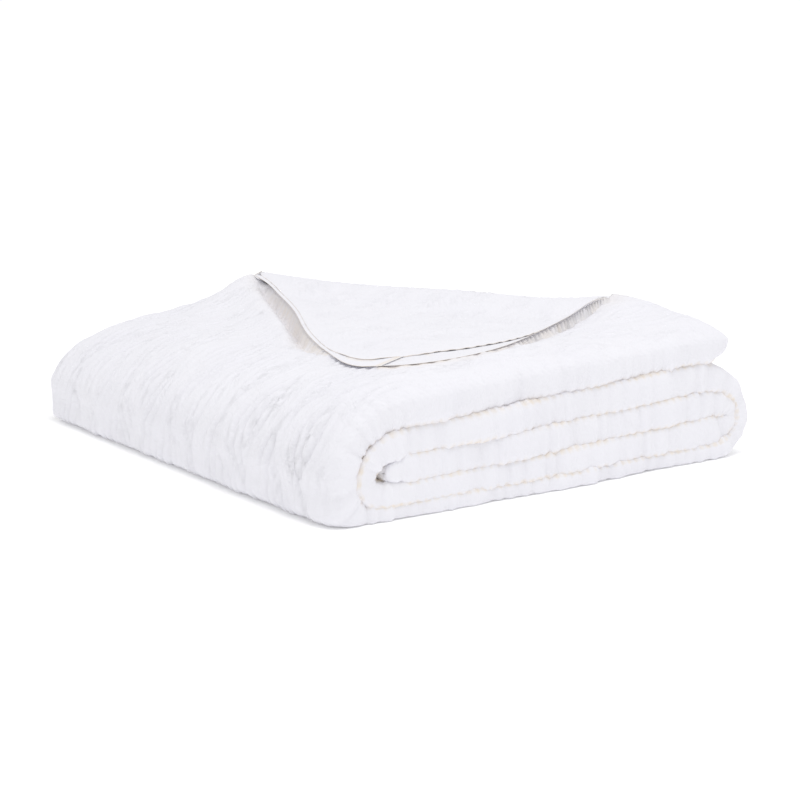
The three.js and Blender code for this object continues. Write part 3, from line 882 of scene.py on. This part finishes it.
def cotton_material(colours):
    """White cotton with a soft crinkled weave and faint slanting ribs, with painted shade: darker in the
    troughs of its relief and warm deep in its creases."""
    material = bpy.data.materials.new("quilted_cotton")
    tree = Tree(material)
    cloth = tree.node("ShaderNodeAttribute", {"attribute_name": "cloth"}, output=1)
    depth, height = (tree.node("ShaderNodeAttribute", {"attribute_name": name}, output=2)
                     for name in ("crease_shade", "height"))
    along, across = (tree.node("ShaderNodeSeparateXYZ", {}, {0: cloth}, axis) for axis in (0, 1))

    def noise_at(scale, stretch, detail=2.0, roughness=0.5):
        where = tree.node("ShaderNodeVectorMath", {"operation": "MULTIPLY"}, {0: cloth, 1: stretch})
        return tree.node("ShaderNodeTexNoise", {"noise_dimensions": "2D"},
                         {"Vector": where, "Scale": scale, "Detail": detail, "Roughness": roughness})

    wander = noise_at(40.0, (1.0, 1.0, 0.0))
    crinkle = noise_at(150.0, (1.0, 0.5, 0.0), 3.0, 0.6)
    cross = noise_at(130.0, (0.35, 1.0, 0.0), 2.0, 0.55)
    patches = noise_at(14.0, (1.0, 1.0, 0.0))
    # Ribs that slant away from the middle of each leaf.
    slant = ((across * 20.0 + wander * 0.7).math("FRACT") - 0.5).math("ABSOLUTE")
    ribs = ((along * 130.0 + slant * 5.0 + wander * 3.0) * (2 * math.pi)).math("SINE")
    relief = crinkle * 0.5 + cross * 0.5 + ribs * 0.05
    bump = tree.node("ShaderNodeBump", {}, {"Strength": 0.6, "Distance": 0.0028, "Height": relief})
    base = tree.mix_colour(patches * 0.6, (*colours.cotton, 1.0), (*colours.cotton_shade, 1.0))
    # Painted shade: darker in the troughs of the relief, and warm deep in the creases, where shade falls.
    trough_shade = (1.0 - height) ** 2.0
    base = tree.mix_colour(trough_shade * 0.3, base, (*colours.crease_shade, 1.0))
    base = tree.mix_colour(depth * 0.8, base, (*colours.deep, 1.0))
    surface = tree.node("ShaderNodeBsdfPrincipled", {}, {
        "Base Color": base, "Roughness": 0.88, "Normal": bump,
        "Sheen Weight": 0.15, "Sheen Roughness": 0.6, "Specular IOR Level": 0.15,
    })
    tree.node("ShaderNodeOutputMaterial", {}, {"Surface": surface})
    return material


def floor_material(colours):
    """A white backdrop that glows as painted light, weaker near the cloth so that its shadow shows, and plain
    white up to its edge.
    """
    material = bpy.data.materials.new("studio_floor")
    tree = Tree(material)
    place = tree.node("ShaderNodeNewGeometry")
    away = tree.node("ShaderNodeVectorMath", {"operation": "LENGTH"}, {0: place}, "Value")
    far = tree.node("ShaderNodeMapRange", {}, {"Value": away, "From Min": GLOW_FROM, "From Max": GLOW_TO})
    glow = tree.mix_colour(far, (*colours.near_glow, 1.0), WHITE)
    surface = tree.node("ShaderNodeBsdfPrincipled", {}, {
        "Base Color": (*colours.floor, 1.0), "Roughness": 0.9, "Specular IOR Level": 0.0,
        "Emission Color": glow, "Emission Strength": BACKDROP_GLOW,
    })
    tree.node("ShaderNodeOutputMaterial", {}, {"Surface": surface})
    return material


def length(name, description, default):
    return bpy.props.FloatProperty(
        name=name, description=description, default=default, unit="LENGTH")


def colour(name, description, default):
    return bpy.props.FloatVectorProperty(
        name=name, description=description, default=default, subtype="COLOR")


class CoverletSizes(bpy.types.PropertyGroup):
    """Sizes of the cloth and of its quilting."""

    fine_step: length("Fine step", "Spacing of the sheet's points where it shows", 0.0029)
    medium_step: length("Medium step", "Spacing of the points on the turned corner", 0.0036)
    coarse_step: length("Coarse step", "Spacing of the points inside the stack", 0.03)
    edge_wave: length("Edge wave", "How far the folds and hems stand out of line", 0.0035)
    face_wave: length("Face wave", "Height of the low swells in the outer faces", 0.0016)
    hem_width: length("Hem width", "Width of the hem that is turned in", 0.018)
    relief: length("Relief", "Height of the quilted relief", 0.0021)
    leaf_length: length("Leaf length", "Length of one leaf of the woven motif", 0.115)
    line_gap: length("Line gap", "Distance from one line of a leaf to the line beside it", 0.0118)
    leaf_pitch: length("Leaf pitch", "Distance between two rows of leaves", 0.050)
    flat_width: length("Cut width", "Width that the cloth was cut to", 2.24)
    flat_length: length("Cut length", "Length that the cloth was cut to", 2.38)


class CoverletColours(bpy.types.PropertyGroup):
    """Colours of the cloth, of the shade painted into it, and of the floor."""

    cotton: colour("Cotton", "Colour of the ridges", (0.845, 0.84, 0.88))
    cotton_shade: colour("Cotton, cooler", "Colour of the cooler patches", (0.805, 0.80, 0.855))
    # Painted shade: the colour that darkens the troughs of the relief.
    crease_shade: colour("Troughs", "Colour in the troughs of the relief", (0.70, 0.69, 0.73))
    # Painted shade: the warm colour painted deep between two folds and along the hems' edges.
    deep: colour("Deep creases", "Colour deep between two folds", (0.80, 0.70, 0.57))
    floor: colour("Floor", "Colour of the floor", (1.0, 1.0, 1.0))
    near_glow: colour("Near glow", "How much the lit backdrop glows near the cloth", (0.50, 0.50, 0.50))


class StudioSizes(bpy.types.PropertyGroup):
    """Sizes of the camera and the light."""

    focal: bpy.props.FloatProperty(
        name="Focal length", description="Focal length on a frame 36 mm wide, in millimetres", default=117.0)
    heading: bpy.props.FloatProperty(
        name="Heading", description="Camera's turn to the right", subtype="ANGLE",
        default=math.radians(35.209471))
    pitch: bpy.props.FloatProperty(
        name="Pitch", description="Camera's tilt below the horizon", subtype="ANGLE",
        default=math.radians(13.163161))
    key: bpy.props.FloatProperty(
        name="Key light", description="Strength of the large light, in watts", default=21.0)
    fill: bpy.props.FloatProperty(
        name="Fill light", description="Strength of the room's light", default=0.80)


class COVERLET_OT_cloth(bpy.types.Operator):
    """Builds the folded cloth as one thin sheet"""

    bl_idname = "coverlet.cloth"
    bl_label = "Coverlet"

    def execute(self, context):
        sizes, colours = context.scene.coverlet_sizes, context.scene.coverlet_colours
        cloth = Cloth(sizes)
        obj = new_mesh("coverlet_cloth", cloth.place, zip_rows(cloth.counts, cloth.s))
        mesh = obj.data
        normals = np.zeros(cloth.place.size)
        mesh.vertex_normals.foreach_get("vector", normals)
        u, v = cloth.pattern.T
        height = mix(quilt_relief(u, v, sizes), front_crinkle(u, v, sizes), cloth.facing)
        height[np.isin(cloth.part, ("ply 4", "ply 3", "inner loop"))] *= INNER_RELIEF
        height *= cloth.calm
        bottom = (np.abs(cloth.layer - 3.0) < 0.12) & (cloth.part != "loop")
        height[bottom] = 0.0
        place = cloth.place + normals.reshape(-1, 3) * height[:, None]
        place[:, 2] = np.maximum(place[:, 2], FLOOR_CLEARANCE)
        mesh.vertices.foreach_set("co", place.ravel())
        coordinates = np.column_stack([cloth.pattern, np.zeros(len(place))])
        mesh.attributes.new("cloth", "FLOAT_VECTOR", "POINT").data.foreach_set("vector", coordinates.ravel())
        # The relief's level, from which the material paints shade into the troughs; the crease shade is
        # painted shade deep in the folds.
        level = np.clip(height / sizes.relief * 0.5 + 0.5, 0.0, 1.0)
        for name, values in (("crease_shade", cloth.crease_shade), ("height", level)):
            mesh.attributes.new(name, "FLOAT", "POINT").data.foreach_set("value", values)
        mesh.update()
        mesh.materials.append(cotton_material(colours))
        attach(obj, "root")
        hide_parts("coverlet")
        return {"FINISHED"}


class COVERLET_OT_stage(bpy.types.Operator):
    """Sets the floor, the lights and the camera"""

    bl_idname = "coverlet.stage"
    bl_label = "Studio"

    def execute(self, context):
        scene, studio, colours = context.scene, context.scene.coverlet_studio, context.scene.coverlet_colours
        corners = [(x * FLOOR_REACH, y * FLOOR_REACH, 0.0) for x, y in ((-1, -1), (1, -1), (1, 1), (-1, 1))]
        floor = new_mesh("studio_floor", corners, [(0, 1, 2, 3)])
        floor.data.materials.append(floor_material(colours))
        world = bpy.data.worlds.new("studio")
        tree = Tree(world)
        light = tree.node("ShaderNodeBackground", {}, {"Color": WHITE, "Strength": studio.fill})
        tree.node("ShaderNodeOutputWorld", {}, {"Surface": light})
        scene.world = world
        soft = bpy.data.lights.new("key", "AREA")
        soft.shape, soft.size, soft.energy = "DISK", LAMP_SIZE, studio.key
        lamp = bpy.data.objects.new("key", soft)
        lamp.location = LAMP_AT
        lamp.rotation_euler = (LAMP_AIM - LAMP_AT).to_track_quat("-Z", "Y").to_euler()
        scene.collection.objects.link(lamp)
        scene.view_settings.view_transform = "Standard"
        camera = bpy.data.cameras.new("camera")
        camera.lens, camera.sensor_width = studio.focal, SENSOR_WIDTH
        eye = bpy.data.objects.new("camera", camera)
        eye.location = CAMERA_AT
        a, p = studio.heading, studio.pitch
        ahead = Vector((math.sin(a) * math.cos(p), math.cos(a) * math.cos(p), -math.sin(p)))
        right = Vector((math.cos(a), -math.sin(a), 0.0))
        up = right.cross(ahead)
        eye.rotation_euler = Matrix((right, up, -ahead)).transposed().to_euler()
        scene.collection.objects.link(eye)
        scene.camera = eye
        return {"FINISHED"}


class COVERLET_PT_panel(bpy.types.Panel):
    """Lists the sizes and the pieces"""

    bl_idname = "COVERLET_PT_panel"
    bl_label = "Folded coverlet"
    bl_space_type = "VIEW_3D"
    bl_region_type = "UI"
    bl_category = "Coverlet"

    def draw(self, context):
        for operator in (COVERLET_OT_cloth, COVERLET_OT_stage):
            self.layout.operator(operator.bl_idname)
        for group in (getattr(context.scene, name) for name in GROUPS):
            for name in group.__annotations__:
                self.layout.prop(group, name)


GROUPS = {
    "coverlet_sizes": CoverletSizes,
    "coverlet_colours": CoverletColours,
    "coverlet_studio": StudioSizes,
}
CLASSES = (*GROUPS.values(), COVERLET_OT_cloth, COVERLET_OT_stage, COVERLET_PT_panel)


def register():
    for each in CLASSES:
        bpy.utils.register_class(each)
    for name, group in GROUPS.items():
        setattr(bpy.types.Scene, name, bpy.props.PointerProperty(type=group))


def unregister():
    for name in GROUPS:
        delattr(bpy.types.Scene, name)
    for each in reversed(CLASSES):
        bpy.utils.unregister_class(each)


def main():
    register()
    bpy.ops.coverlet.cloth()
    bpy.ops.coverlet.stage()


if __name__ == "__main__":
    main()
